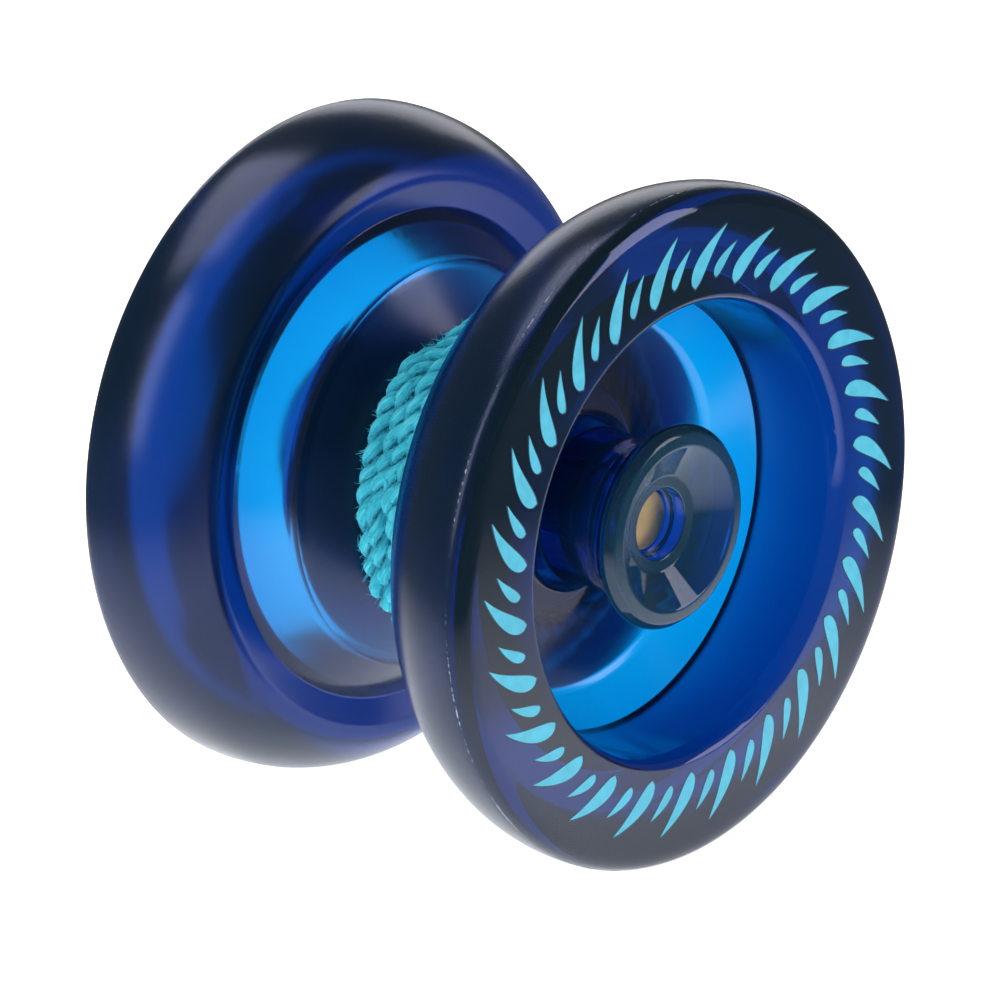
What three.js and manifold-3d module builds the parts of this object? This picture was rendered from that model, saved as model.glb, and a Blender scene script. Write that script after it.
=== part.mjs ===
// Take-apart yo-yo with a ball-bearing axle, as an assembly of separate solids.
// Units are millimetres. The spin axis is Y, +Z is up, and the origin is the
// middle of the string gap on the spin axis. Half A is on the -Y side, half B
// on the +Y side. The two halves are alike and stand back to back on one axle.
//
// Profiles are lists of [radius, y]. Parts that come in pairs are drawn for
// half B; "outer" y is away from the string gap.

import * as THREE from 'three';
import { mergeVertices } from 'three/addons/utils/BufferGeometryUtils.js';
import Module from 'manifold-3d';

const wasm = await Module();
wasm.setup();

// ---------------------------------------------------------- shared dimensions
const SIDES = [['a', -1], ['b', 1]];    // name tag, direction along Y

const AXLE_BORE_R = 2.075;              // clearance around the stud

const INSERT_R = 3.0;                   // body of the brass insert
const INSERT_SHOULDER_Y = 14.35;
const INSERT_FOOT_Y = 4.48;             // end nearest the string

const FLANGE_R = 4.4;                   // flange of the bearing spacer
const PAD_R = [7.36, 9.48];             // response pad, inner and outer radius
const PAD_Y = [2.24, 3.30];             // string side and back

// Facets around each turned piece.
const SEGMENTS = {
  body: 48, insert: 24, spacer: 36, pad: 48, axle: 24,
  race: 36, shield: 36, cage: 40, string: 48,
};

// ------------------------------------------------------------------ materials
const standard = (settings) => new THREE.MeshStandardMaterial(settings);

const bluePlastic = () => standard({
  color: 0x0b2f6b, roughness: 0.12, metalness: 0, transparent: true, opacity: 0.85,
});
const brass = () => standard({ color: 0xd2ad6c, roughness: 0.35, metalness: 1 });
const aluminium = () => standard({ color: 0xb9bcc0, roughness: 0.35, metalness: 1 });
const steel = () => standard({ color: 0x9da1a6, roughness: 0.25, metalness: 1 });
const polishedSteel = () => standard({ color: 0xc9ccd0, roughness: 0.12, metalness: 1 });
const silicone = () => standard({ color: 0xd9dde0, roughness: 0.75, metalness: 0 });
const cord = () => standard({ color: 0x24a9c0, roughness: 0.95, metalness: 0 });

// ------------------------------------------------------------- mesh utilities
const MERGE_TOLERANCE = 1e-4;

// Welds a geometry by position, drops collapsed triangles and makes the rest
// face outwards, so that it is a watertight solid.
function closed(geometry) {
  for (const key of Object.keys(geometry.attributes)) {
    if (key !== 'position') geometry.deleteAttribute(key);
  }
  const welded = mergeVertices(geometry, MERGE_TOLERANCE);
  const positions = welded.attributes.position;
  const source = welded.index.array;
  const corner = (index) => new THREE.Vector3().fromBufferAttribute(positions, index);

  const triangles = [];
  let signedVolume = 0;
  for (let i = 0; i < source.length; i += 3) {
    const [first, second, third] = source.slice(i, i + 3);
    if (first === second || second === third || first === third) continue;
    triangles.push([first, second, third]);
    signedVolume += corner(first).dot(corner(second).cross(corner(third))) / 6;
  }
  if (signedVolume < 0) {
    for (const triangle of triangles) {
      [triangle[1], triangle[2]] = [triangle[2], triangle[1]];
    }
  }
  welded.setIndex(triangles.flat());
  return welded;
}

function toManifold(geometry) {
  return new wasm.Manifold(new wasm.Mesh({
    numProp: 3,
    vertProperties: new Float32Array(geometry.attributes.position.array),
    triVerts: new Uint32Array(geometry.index.array),
  }));
}

function fromManifold(solid) {
  const { numProp, vertProperties, triVerts } = solid.getMesh();
  const positions = [];
  for (let i = 0; i < vertProperties.length; i += numProp) {
    positions.push(vertProperties[i], vertProperties[i + 1], vertProperties[i + 2]);
  }
  const geometry = new THREE.BufferGeometry();
  geometry.setAttribute('position', new THREE.Float32BufferAttribute(positions, 3));
  geometry.setIndex(Array.from(triVerts));
  return closed(geometry);
}

// Turns a profile that starts and ends on the spin axis. The facets are tangent
// to the stated radii, so a bore never gets smaller than its radius, and a
// facet, not an edge, faces straight down.
function turned(profile, segments) {
  const halfFacet = Math.PI / segments;
  const points = profile.map(([r, y]) => new THREE.Vector2(r / Math.cos(halfFacet), y));
  return closed(new THREE.LatheGeometry(points, segments, halfFacet));
}

// Turns a profile that goes round a ring, clear of the axis.
const turnedRing = (profile, segments) => turned([...profile, profile[0]], segments);

// ----------------------------------------------------------- profile utilities
const onSide = (profile, side) => profile.map(([r, y]) => [r, y * side]);

// A profile, an optional middle, then the profile mirrored in y and run back.
const symmetric = (profile, middle = []) =>
  [...profile, ...middle, ...onSide(profile, -1).reverse()];

const rectangle = ([innerR, outerR], [startY, endY]) =>
  [[innerR, startY], [outerR, startY], [outerR, endY], [innerR, endY]];

// Part of a superellipse quarter: angle 0 is its largest radius, and `side` is
// the direction along Y in which it bulges.
function superellipse({ centre, size, power, from, to, steps, side }) {
  const stretch = (value) => Math.pow(Math.max(value, 0), 2 / power);
  const points = [];
  for (let i = 0; i <= steps; i++) {
    const angle = from + ((to - from) * i) / steps;
    points.push([
      centre[0] + size[0] * stretch(Math.cos(angle)),
      centre[1] + side * size[1] * stretch(Math.sin(angle)),
    ]);
  }
  return points;
}

// ------------------------------------------------------------------ half body
const RIM_R = 27.75;              // largest radius, and where it is
const RIM_Y = 18.17;
const FACE_R = 25.74;             // outer edge of the flat face ring
const FACE_Y = 20.34;             // outer face: half the total width
const FACE_ROUND_POWER = 2.53;    // squareness of the rounding from face to rim
const BULGE_CENTRE_R = 18.06;     // string side of the rim
const BULGE_DEPTH = 10.41;
const BULGE_POWER = 2.02;
const BULGE_END_R = 24.3;         // where the bulge meets the shelf
const LAND_Y = 2.16;              // flats beside the pad, facing the string
const WELL_R = 6.62;              // bearing well
const WELL_Y = 2.76;
const POST_R = 6.25;              // hub post

// Clearances around the parts that sit in the body.
const PAD_GAP = { radial: 0.08, back: 0.05 };
const FLANGE_GAP = 0.06;
const INSERT_GAP = { radial: 0.04, end: 0.07 };

// From the hub's hole, over the post and across the cup to the face ring.
const CUP_PROFILE = [
  [2.56, INSERT_SHOULDER_Y + INSERT_GAP.end],    // neck around the insert's nose
  [2.56, 15.85],
  [2.92, 15.85],                  // step up to the eye
  [2.92, 16.99],
  [3.95, 17.04],                  // foot of the dished funnel
  [6.73, 18.92],                  // crown of the post's flared lip
  [7.83, 18.72],
  [8.46, 17.90],                  // widest place of the lip
  [POST_R + 0.5, 15.2],
  [POST_R, 13.0],
  [POST_R, 9.9],
  [7.35, 8.25],                   // cup floor at the post
  [15.57, 8.64],                  // foot of the cup's cone
  [17.83, 12.04],                 // foot of the steep cup wall
  [18.35, FACE_Y - 1.05],         // bevelled mouth
  [19.3, FACE_Y],
];

// Web between the rim bulge and the pad, on the string side.
const WEB_PROFILE = [
  [22.6, 9.64],                   // shelf
  [20.35, 10.37],                 // outer edge of the thin web
  [16.81, 6.68],                  // inner edge of the thin web
  [10.15, 2.42],
];

function rimProfile() {
  const faceRound = superellipse({
    centre: [FACE_R, RIM_Y],
    size: [RIM_R - FACE_R, FACE_Y - RIM_Y],
    power: FACE_ROUND_POWER,
    from: Math.PI / 2,
    to: 0,
    steps: 4,
    side: 1,
  });
  const bulgeWidth = RIM_R - BULGE_CENTRE_R;
  const endShare = (BULGE_END_R - BULGE_CENTRE_R) / bulgeWidth;
  const bulge = superellipse({
    centre: [BULGE_CENTRE_R, RIM_Y],
    size: [bulgeWidth, BULGE_DEPTH],
    power: BULGE_POWER,
    from: 0,
    to: Math.acos(Math.pow(endShare, BULGE_POWER / 2)),
    steps: 5,
    side: -1,
  });
  // The two curves share the point at the largest radius.
  return [...faceRound, ...bulge.slice(1)];
}

// Pad groove, bearing well, then the pocket for flange and insert.
function seatProfile() {
  const grooveInnerR = PAD_R[0] - PAD_GAP.radial;
  const grooveOuterR = PAD_R[1] + PAD_GAP.radial;
  const grooveY = PAD_Y[1] + PAD_GAP.back;
  const flangePocketR = FLANGE_R + FLANGE_GAP;
  const flangePocketY = INSERT_FOOT_Y - 0.02;
  const insertPocketR = INSERT_R + INSERT_GAP.radial;
  return [
    [grooveOuterR, LAND_Y],
    [grooveOuterR, grooveY],
    [grooveInnerR, grooveY],
    [grooveInnerR, LAND_Y],
    [WELL_R, LAND_Y],
    [WELL_R, WELL_Y],
    [flangePocketR, WELL_Y],
    [flangePocketR, flangePocketY],
    [insertPocketR, flangePocketY],
    [insertPocketR, INSERT_SHOULDER_Y + INSERT_GAP.end],
  ];
}

// One moulding: rim, thin conical web, cup floor and the hub post in the cup.
function halfBody(side) {
  const profile = [...CUP_PROFILE, ...rimProfile(), ...WEB_PROFILE, ...seatProfile()];
  return turnedRing(onSide(profile, side), SEGMENTS.body);
}

// --------------------------------------------------------------- brass insert
const NOSE_R = 2.5;               // nose seen in the hub's hole
const NOSE_Y = 15.3;
const NOSE_BEVEL = 0.15;
const BORE_BEVEL = 0.3;           // at the open end of the bore
const BORE_WALL_END_Y = 12.0;     // blind end: a cone from here to the tip
const BORE_TIP_Y = 13.0;

// Blind insert in the post, open on the string side; its bore is plain here.
function threadedInsert(side) {
  return turned(onSide([
    [0, NOSE_Y],
    [NOSE_R - NOSE_BEVEL, NOSE_Y],
    [NOSE_R, NOSE_Y - NOSE_BEVEL],
    [NOSE_R, INSERT_SHOULDER_Y],
    [INSERT_R, INSERT_SHOULDER_Y],
    [INSERT_R, INSERT_FOOT_Y],
    [AXLE_BORE_R + BORE_BEVEL, INSERT_FOOT_Y],
    [AXLE_BORE_R, INSERT_FOOT_Y + BORE_BEVEL],
    [AXLE_BORE_R, BORE_WALL_END_Y],
    [0, BORE_TIP_Y],
  ], side), SEGMENTS.insert);
}

// ------------------------------------------------------------- bearing spacer
const SPACER_BORE_R = AXLE_BORE_R + 0.01;
const BOSS_R = 3.13;              // boss inside the bearing
const BOSS_END_Y = 0.06;
const FLANGE_Y = [2.41, 4.43];

// Its boss centres the bearing, its flange carries the load.
function bearingSpacer(side) {
  return turnedRing(onSide([
    [SPACER_BORE_R, BOSS_END_Y],
    [BOSS_R - 0.1, BOSS_END_Y],
    [BOSS_R, 0.2],
    [BOSS_R, FLANGE_Y[0]],
    [FLANGE_R - 0.25, FLANGE_Y[0]],
    [FLANGE_R, FLANGE_Y[0] + 0.45],
    [FLANGE_R, FLANGE_Y[1]],
    [SPACER_BORE_R, FLANGE_Y[1]],
  ], side), SEGMENTS.spacer);
}

// Soft ring that grips the string.
function responsePad(side) {
  return turnedRing(onSide(rectangle(PAD_R, PAD_Y), side), SEGMENTS.pad);
}

// ----------------------------------------------------------------------- axle
const AXLE_R = 2.0;               // M4 stud, drawn plain
const AXLE_HALF = 11.0;           // half its length
const AXLE_BEVEL = 0.3;
const SOCKET_R = 1.15;            // hexagon socket, across corners / 2
const SOCKET_DEPTH = 2.0;
const SOCKET_OVERRUN = 0.2;       // the cutter stands out past the stud's end

// Stud with a hexagon socket in its B end.
function axleStud() {
  const rod = turned(symmetric([
    [0, -AXLE_HALF],
    [AXLE_R - AXLE_BEVEL, -AXLE_HALF],
    [AXLE_R, -AXLE_HALF + AXLE_BEVEL],
  ]), SEGMENTS.axle);
  const height = SOCKET_DEPTH + SOCKET_OVERRUN;
  const socket = closed(new THREE.CylinderGeometry(SOCKET_R, SOCKET_R, height, 6, 1));
  socket.translate(0, AXLE_HALF + SOCKET_OVERRUN - height / 2, 0);
  return fromManifold(toManifold(rod).subtract(toManifold(socket)));
}

// -------------------------------------------------------------------- bearing
// Size C: bore 6.35, outside diameter 12.7, width 4.76.
const BEARING_BORE_R = 3.175;
const BEARING_R = 6.35;
const BEARING_HALF_W = 2.38;
const BORE_EDGE_BEVEL = 0.12;
const LAND_EDGE_BEVEL = 0.1;
const WAIST_R = 6.1;              // hollow-ground outer surface
const INNER_LAND_R = 4.24;        // race surfaces beside the raceways
const OUTER_LAND_R = 5.29;
const MOUTH_R = 5.42;             // outer race at its two ends
const CLIP_GROOVE_R = 5.63;
const CLIP_GROOVE_Y = [1.74, 2.20];

const PITCH_R = 4.7625;           // ball circle
const RACEWAY_R = 0.845;
const BALLS = 10;
const BALL_R = 0.794;
const POCKET_R = 0.90;            // ball pockets in the cage
const CAGE_R = [4.44, 5.08];
const CAGE_HALF_W = 1.16;

const SHIELD_R = [4.42, 5.58];
const SHIELD_Y = [1.77, 1.94];
const CLIP_R = [5.26, 5.56];
const CLIP_Y = 1.965;             // face towards the shield
const CLIP_THICKNESS = 0.2;
const CLIP_HALF_GAP = THREE.MathUtils.degToRad(14);

// Arc about the ball centre that starts and ends on the race's land. It runs
// towards +Y in the inner race and towards -Y in the outer race.
function raceway(landR) {
  const steps = 4;
  const outward = Math.sign(landR - PITCH_R);
  const start = outward * Math.acos(Math.abs(landR - PITCH_R) / RACEWAY_R);
  const points = [];
  for (let i = 0; i <= steps; i++) {
    const angle = start - (2 * start * i) / steps;
    points.push([
      PITCH_R + outward * RACEWAY_R * Math.cos(angle),
      RACEWAY_R * Math.sin(angle),
    ]);
  }
  return points;
}

function innerRace() {
  return turnedRing(symmetric([
    [BEARING_BORE_R, -BEARING_HALF_W + BORE_EDGE_BEVEL],
    [BEARING_BORE_R + BORE_EDGE_BEVEL, -BEARING_HALF_W],
    [INNER_LAND_R - LAND_EDGE_BEVEL, -BEARING_HALF_W],
    [INNER_LAND_R, -BEARING_HALF_W + LAND_EDGE_BEVEL],
  ], raceway(INNER_LAND_R)), SEGMENTS.race);
}

function outerRace() {
  const outside = symmetric([
    [MOUTH_R, -BEARING_HALF_W],
    [BEARING_R, -BEARING_HALF_W],
    [BEARING_R - 0.02, -1.75],
    [WAIST_R, -0.6],
  ]);
  const inside = symmetric([
    [MOUTH_R, CLIP_GROOVE_Y[1]],
    [CLIP_GROOVE_R, CLIP_GROOVE_Y[1]],
    [CLIP_GROOVE_R, CLIP_GROOVE_Y[0]],
    [OUTER_LAND_R, CLIP_GROOVE_Y[0]],
  ], raceway(OUTER_LAND_R));
  return turnedRing([...outside, ...inside], SEGMENTS.race);
}

function bearingShield(side) {
  return turnedRing(onSide(rectangle(SHIELD_R, SHIELD_Y), side), SEGMENTS.shield);
}

// Open ring, with its gap towards +X, that holds the shield in its groove.
function shieldClip(side) {
  const start = CLIP_HALF_GAP;
  const end = Math.PI * 2 - CLIP_HALF_GAP;
  const outline = new THREE.Shape();
  outline.absarc(0, 0, CLIP_R[1], start, end, false);
  outline.absarc(0, 0, CLIP_R[0], end, start, true);
  outline.closePath();
  const clip = new THREE.ExtrudeGeometry(outline, {
    depth: CLIP_THICKNESS, bevelEnabled: false, curveSegments: 24,
  });
  clip.rotateX(-Math.PI / 2);
  clip.translate(0, side > 0 ? CLIP_Y : -CLIP_Y - CLIP_THICKNESS, 0);
  return closed(clip);
}

function ballCentre(i) {
  const angle = (i / BALLS) * Math.PI * 2;
  return [PITCH_R * Math.sin(angle), 0, PITCH_R * Math.cos(angle)];
}

function bearingCage() {
  const band = rectangle(CAGE_R, [-CAGE_HALF_W, CAGE_HALF_W]);
  let cage = toManifold(turnedRing(band, SEGMENTS.cage));
  for (let i = 0; i < BALLS; i++) {
    const pocket = closed(new THREE.SphereGeometry(POCKET_R, 10, 8));
    pocket.translate(...ballCentre(i));
    cage = cage.subtract(toManifold(pocket));
  }
  return fromManifold(cage);
}

const ball = () => closed(new THREE.IcosahedronGeometry(BALL_R, 1));

// --------------------------------------------------------------------- string
// Wound cord around the bearing, as one crowned ring: the -Y half of its
// profile, from the inside out.
const STRING_PROFILE = [
  [6.42, -1.84], [9.7, -1.84], [12.75, -3.6], [13.4, -2.7], [13.7, -1.1],
];

const stringWinding = () => turnedRing(symmetric(STRING_PROFILE), SEGMENTS.string);

// ------------------------------------------------------------------- assembly
const toy = new THREE.Group();

function add(name, geometry, material) {
  geometry.computeVertexNormals();
  const mesh = new THREE.Mesh(geometry, material);
  mesh.name = name;
  toy.add(mesh);
  return mesh;
}

for (const [tag, side] of SIDES) {
  add(`half_${tag}_body`, halfBody(side), bluePlastic());
  add(`threaded_insert_${tag}`, threadedInsert(side), brass());
  add(`bearing_spacer_${tag}`, bearingSpacer(side), aluminium());
  add(`response_pad_${tag}`, responsePad(side), silicone());
}

add('axle_stud', axleStud(), steel());
add('bearing_inner_race', innerRace(), polishedSteel());
add('bearing_outer_race', outerRace(), polishedSteel());
for (const [tag, side] of SIDES) {
  add(`bearing_shield_${tag}`, bearingShield(side), steel());
  add(`shield_clip_${tag}`, shieldClip(side), steel());
}
add('bearing_cage', bearingCage(), steel());
for (let i = 0; i < BALLS; i++) {
  const name = `ball_${String(i + 1).padStart(2, '0')}`;
  add(name, ball(), polishedSteel()).position.set(...ballCentre(i));
}

add('string_winding', stringWinding(), cord());

export default toy;
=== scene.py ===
"""Yo-yo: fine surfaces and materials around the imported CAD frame.

The spin axis is Y, with half a towards -Y and half b towards +Y; +Z is up and the origin lies on
the axis midway between the halves. Shapes are given in millimetres and turned into metres as
meshes are made. Shader lengths are in metres. A section is a list of (radius, y) points.
"""
import math
from contextlib import contextmanager
from functools import partialmethod

import bpy
import bmesh
import numpy as np
from mathutils import Matrix, Vector, noise


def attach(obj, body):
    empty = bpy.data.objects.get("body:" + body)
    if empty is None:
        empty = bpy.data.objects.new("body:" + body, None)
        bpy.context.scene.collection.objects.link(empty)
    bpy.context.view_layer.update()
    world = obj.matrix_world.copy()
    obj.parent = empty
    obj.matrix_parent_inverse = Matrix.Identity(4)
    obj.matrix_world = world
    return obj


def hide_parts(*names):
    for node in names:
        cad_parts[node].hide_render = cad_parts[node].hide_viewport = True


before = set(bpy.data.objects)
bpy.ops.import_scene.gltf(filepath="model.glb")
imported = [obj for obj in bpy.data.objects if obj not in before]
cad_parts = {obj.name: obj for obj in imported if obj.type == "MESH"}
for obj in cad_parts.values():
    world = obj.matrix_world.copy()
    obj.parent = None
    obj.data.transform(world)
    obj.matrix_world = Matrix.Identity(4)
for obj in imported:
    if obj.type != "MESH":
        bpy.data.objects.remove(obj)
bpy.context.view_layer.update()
scene = bpy.context.scene

MM = 0.001
SIDES = (("a", -1), ("b", 1))      # tag of each half, and the sign of its y

# Moulding
FACE_Y = 20.34                     # flat ring of the outer face
RIM_R = 27.75
RIM_Y = 18.17                      # where the face curve meets the bulge
FACE_EDGE_R = 25.74                # where the flat ring starts to round over
BULGE_CENTRE_R = 18.06
BULGE_DEPTH = 10.41
BULGE_END_R = 24.70                # where the bulge passes into the shelf
SHELF_END = (22.4, 9.70)
SHELF_Y = 10.37
WEB_FOOT = (16.81, 6.68)
WEB_SLOPE = 1.043                  # of the web's string side, axial over radial
SEAM_Y = 18.96                     # mould parting line
SEAM_HALF_WIDTH = 0.12

# Hub and stud
INSERT_R = 3.0
STUD_HALF_LENGTH = 11.0
THREAD_PITCH = 0.7

# Bearing
BORE_R = 3.175
BEARING_R = 6.35
RACE_HALF_WIDTH = 2.38
BALL_CIRCLE_R = 4.7625
BALL_COUNT = 10
BALL_R = 0.794
POCKET_R = 0.885
GROOVE_R = 0.845                   # ball grooves in both races
INNER_LAND_R = 4.24
OUTER_LAND_R = 5.29
WAIST_DEPTH = 0.25                 # hollow round the outer race
WAIST_HALF_WIDTH = 1.85

# String
PLY_R = 0.53                       # two plies, each this thick, twist about the strand's line
TWIST = 3.8                        # length of one full twist

FLOOR_Z = -27.78
FLOOR_HALF_SIZE = 4000.0


# =====================================================================  meshes
def fillet(corners, step=9.0):
    """Closed section from (r, y, fillet radius) corners, with arcs cut every step degrees."""
    points = []
    for i, (r, y, radius) in enumerate(corners):
        if not radius:
            points.append((r, y))
            continue
        corner = np.array((r, y), float)
        to_last = np.array(corners[i - 1][:2], float) - corner
        to_next = np.array(corners[(i + 1) % len(corners)][:2], float) - corner
        last_length, next_length = np.linalg.norm(to_last), np.linalg.norm(to_next)
        to_last, to_next = to_last / last_length, to_next / next_length
        angle = math.acos(max(-1.0, min(1.0, float(to_last @ to_next))))
        turn = math.pi - angle
        if turn < math.radians(1.5):
            points.append((r, y))
            continue
        # the arc may use just under half of either edge
        trim = min(radius * math.tan(turn / 2), 0.48 * last_length, 0.48 * next_length)
        radius = trim / math.tan(turn / 2)
        bisector = (to_last + to_next) / np.linalg.norm(to_last + to_next)
        centre = corner + bisector * (radius / math.sin(angle / 2))
        start = corner + to_last * trim - centre
        end = corner + to_next * trim - centre
        first = math.atan2(start[1], start[0])
        swing = math.atan2(end[1], end[0]) - first
        while swing > math.pi:
            swing -= 2 * math.pi
        while swing < -math.pi:
            swing += 2 * math.pi
        count = max(2, int(math.ceil(math.degrees(turn) / step)))
        for j in range(count + 1):
            a = first + swing * j / count
            points.append((centre[0] + radius * math.cos(a), centre[1] + radius * math.sin(a)))
    distinct = [points[0]]
    for point in points[1:]:
        if math.dist(point, distinct[-1]) > 1e-4:
            distinct.append(point)
    if math.dist(distinct[0], distinct[-1]) < 1e-4:
        distinct.pop()
    return distinct


def subdivide(section, pieces):
    """Cuts each edge of a closed section into pieces(start, end) equal parts."""
    points = []
    for start, end in zip(section, section[1:] + section[:1]):
        count = pieces(start, end)
        for j in range(count):
            points.append((start[0] + (end[0] - start[0]) * j / count,
                           start[1] + (end[1] - start[1]) * j / count))
    return points


def section_normals(section, closed):
    """Outward direction at each point, weighted by the edges beside it, its sign from the area."""
    points = np.array(section, float)
    following = np.roll(points, -1, 0)
    edges = following - points
    if not closed:
        edges[-1] = 0
    area = 0.5 * np.sum(points[:, 0] * following[:, 1] - following[:, 0] * points[:, 1])
    tangents = edges + np.roll(edges, 1, 0)
    normals = np.stack([tangents[:, 1], -tangents[:, 0]], 1)
    normals /= np.maximum(np.linalg.norm(normals, axis=1, keepdims=True), 1e-12)
    return normals if area > 0 else -normals


def polar_point(radius, angle, y):
    """Point about the spin axis; the angle runs from +Z towards +X."""
    return (radius * math.sin(angle), y, radius * math.cos(angle))


def ring_quads(first, second, count):
    """Faces between two rings of count vertices that start at the given indices."""
    quads = []
    for j in range(count):
        k = (j + 1) % count
        quads.append((first + j, first + k, second + k, second + j))
    return quads


def link_object(name, mesh):
    ob = bpy.data.objects.new(name, mesh)
    scene.collection.objects.link(ob)
    return ob


def set_smooth(mesh, smooth=True):
    for polygon in mesh.polygons:
        polygon.use_smooth = smooth


def mesh_object(name, verts, faces, smooth=True):
    """New object from vertices in millimetres."""
    mesh = bpy.data.meshes.new(name)
    mesh.from_pydata([tuple(c * MM for c in v) for v in verts], [], faces)
    mesh.update()
    set_smooth(mesh, smooth)
    return link_object(name, mesh)


@contextmanager
def editing(mesh):
    bm = bmesh.new()
    bm.from_mesh(mesh)
    yield bm
    bm.to_mesh(mesh)
    bm.free()


def unify_normals(mesh):
    with editing(mesh) as bm:
        bmesh.ops.recalc_face_normals(bm, faces=bm.faces)


def face_outward(bm):
    bmesh.ops.recalc_face_normals(bm, faces=bm.faces)
    if bm.calc_volume(signed=True) < 0:
        bmesh.ops.reverse_faces(bm, faces=bm.faces)


def sharpen(mesh, degrees):
    """Marks edges over that angle sharp, so that smooth shading keeps them crisp."""
    limit = math.radians(degrees)
    with editing(mesh) as bm:
        for edge in bm.edges:
            edge.smooth = not (len(edge.link_faces) == 2 and edge.calc_face_angle(0.0) > limit)


def lathe(name, section, segments, closed=True, relief=None):
    """Turned mesh about Y. relief(angle, r, y) may add a small change of radius.

    An open section starts and ends on the axis.
    """
    count = len(section)
    section_out = section_normals(section, closed)
    verts, normals = [], []
    for angle in np.arange(segments) * 2 * math.pi / segments:
        for (r, y), (out_r, out_y) in zip(np.array(section, float), section_out):
            if relief:
                r = r + relief(angle, r, y)
            verts.append(polar_point(r, angle, y))
            normals.append(polar_point(out_r, angle, out_y))
    faces = []
    for a in range(segments):
        b = (a + 1) % segments
        for i in range(count if closed else count - 1):
            j = (i + 1) % count
            faces.append((a * count + i, b * count + i, b * count + j, a * count + j))
    ob = mesh_object(name, verts, faces, smooth=False)
    mesh = ob.data
    with editing(mesh) as bm:
        bmesh.ops.remove_doubles(bm, verts=bm.verts, dist=1e-8)
        # points on the axis have merged, so drop faces that collapsed
        collapsed = [f for f in bm.faces if f.calc_area() < 1e-16]
        bmesh.ops.delete(bm, geom=collapsed, context="FACES")
        face_outward(bm)
    set_smooth(mesh)

    # vertices are matched to their section normals by place, since merging renumbers them
    by_place = {}
    for (x, y, z), normal in zip(verts, normals):
        key = (round(x * MM * 1e8), round(y * MM * 1e8), round(z * MM * 1e8))
        by_place.setdefault(key, normal)
    custom = []
    for v in mesh.vertices:
        if math.hypot(v.co.x, v.co.z) < 1e-7:
            custom.append((0.0, math.copysign(1.0, v.normal.y), 0.0))
        else:
            key = (round(v.co.x * 1e8), round(v.co.y * 1e8), round(v.co.z * 1e8))
            custom.append(by_place.get(key) or tuple(v.normal))
    mesh.normals_split_custom_set_from_vertices(custom)
    return ob


def turned(name, corners, segments, side=1, step=9.0, **options):
    """Lathe of a filleted section, mirrored in y where side is -1."""
    section = [(r, y * side) for r, y in fillet(corners, step)]
    return lathe(name, section, segments, **options)


def assign(ob, *materials):
    ob.data.materials.clear()
    for material in materials:
        ob.data.materials.append(material)


def place(ob, material, body, replaces=None):
    """Gives the object its material, hides the frame part that it replaces, and hangs it on the
    body that it moves with.
    """
    assign(ob, material)
    if replaces:
        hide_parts(replaces)
    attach(ob, body)


# ==================================================================  materials
FALL = (1.0, 0.0)      # a remap that goes from full to nothing


class Graph:
    """Node tree of a material or world. Inputs may be plain values or other nodes' sockets."""

    def __init__(self, owner, output_kind):
        owner.use_nodes = True
        self.owner = owner
        self.tree = owner.node_tree
        self.tree.nodes.clear()
        self.output = self.node(output_kind)

    def node(self, kind, inputs=None, **settings):
        made = self.tree.nodes.new("ShaderNode" + kind)
        for key, value in settings.items():
            setattr(made, key, value)
        for key, value in (inputs or {}).items():
            if isinstance(value, bpy.types.NodeSocket):
                self.tree.links.new(value, made.inputs[key])
            else:
                made.inputs[key].default_value = value
        return made

    def finish(self, shader, socket="Surface"):
        self.tree.links.new(shader.outputs[0], self.output.inputs[socket])
        return self.owner

    def principled(self, inputs):
        return self.finish(self.node("BsdfPrincipled", inputs))

    def math(self, operation, *values):
        return self.node("Math", dict(enumerate(values)), operation=operation).outputs[0]

    add = partialmethod(math, "ADD")
    subtract = partialmethod(math, "SUBTRACT")
    multiply = partialmethod(math, "MULTIPLY")
    maximum = partialmethod(math, "MAXIMUM")
    minimum = partialmethod(math, "MINIMUM")
    absolute = partialmethod(math, "ABSOLUTE")

    def noise(self, vector=None, *, scale, detail, roughness, distortion=0.0):
        return self.node("TexNoise", {
            "Vector": vector or self.position, "Scale": scale, "Detail": detail,
            "Roughness": roughness, "Distortion": distortion}).outputs["Fac"]

    def remap(self, value, *, start, end, to=(0.0, 1.0)):
        """Clamped: to[0] up to start, to[1] beyond end."""
        return self.node("MapRange", {
            "Value": value, "From Min": start, "From Max": end,
            "To Min": to[0], "To Max": to[1]}, clamp=True).outputs["Result"]

    def ramp(self, factor, *stops):
        """Colour ramp through (position, rgb) stops."""
        made = self.node("ValToRGB", {"Fac": factor})
        elements = made.color_ramp.elements
        while len(elements) > 1:
            elements.remove(elements[-1])
        elements[0].position, elements[0].color = stops[0][0], (*stops[0][1], 1)
        for position, color in stops[1:]:
            elements.new(position).color = (*color, 1)
        return made.outputs["Color"]

    def mix(self, factor, first, second, **settings):
        return self.node("Mix", {0: factor, 6: first, 7: second},
                         data_type="RGBA", **settings).outputs[2]

    def bump(self, height, *, strength, distance, under=None):
        inputs = {"Height": height, "Strength": strength, "Distance": distance}
        if under:
            inputs["Normal"] = under
        return self.node("Bump", inputs).outputs["Normal"]

    def polar(self):
        """(radius, angle, y) about the spin axis."""
        x, y, z = self.node("SeparateXYZ", {0: self.position}).outputs
        square = self.add(self.multiply(x, x), self.multiply(z, z))
        return self.math("SQRT", square), self.math("ARCTAN2", x, z), y

    def streaks(self, radius, angle, y, *, across, around):
        """Noise coordinates, fine across and stretched around the spin axis."""
        return self.node("CombineXYZ", {
            0: self.multiply(radius, across), 1: self.multiply(y, across),
            2: self.multiply(angle, around)}).outputs[0]


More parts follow.
